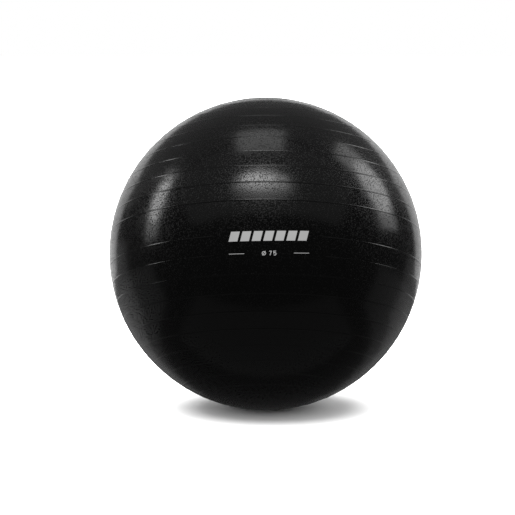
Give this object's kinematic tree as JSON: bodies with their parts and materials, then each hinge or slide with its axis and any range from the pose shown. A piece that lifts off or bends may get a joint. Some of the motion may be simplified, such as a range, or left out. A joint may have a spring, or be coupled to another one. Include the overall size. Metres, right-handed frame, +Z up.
{
  "type": "exercise ball",
  "caption": "Inflated exercise ball with thin raised ridges around it, a flush push-in air plug and a plain print panel on the front.",
  "frame": {"origin": "on the floor, under the ball's centre, in the middle of the small flat that it rests on", "axes": "+Z up; -Y towards the side that carries the prints; the axis that the ridges run around, and that the valve lies on, leans from +Z towards +Y by 18.6 degrees"},
  "size_m": [0.75, 0.7508, 0.7495],
  "materials": {
    "ball_vinyl": "satin, finely grained soft PVC",
    "valve_vinyl": "satin soft PVC",
    "plug_plastic": "satin",
    "print_ink": "thin screen-printed ink"
  },
  "bodies": {
    "ball": {"ball_shell": "ball_vinyl", "valve_seat": "valve_vinyl", "printed_emblem": "print_ink", "printed_size_mark": "print_ink"},
    "plug": {"valve_plug": "plug_plastic"}
  },
  "joints": [
    {"name": "plug_pull", "type": "slide", "parent": "ball", "child": "plug", "axis": [0, 0.319, 0.9478], "range_m": [0, 0.045]}
  ]
}
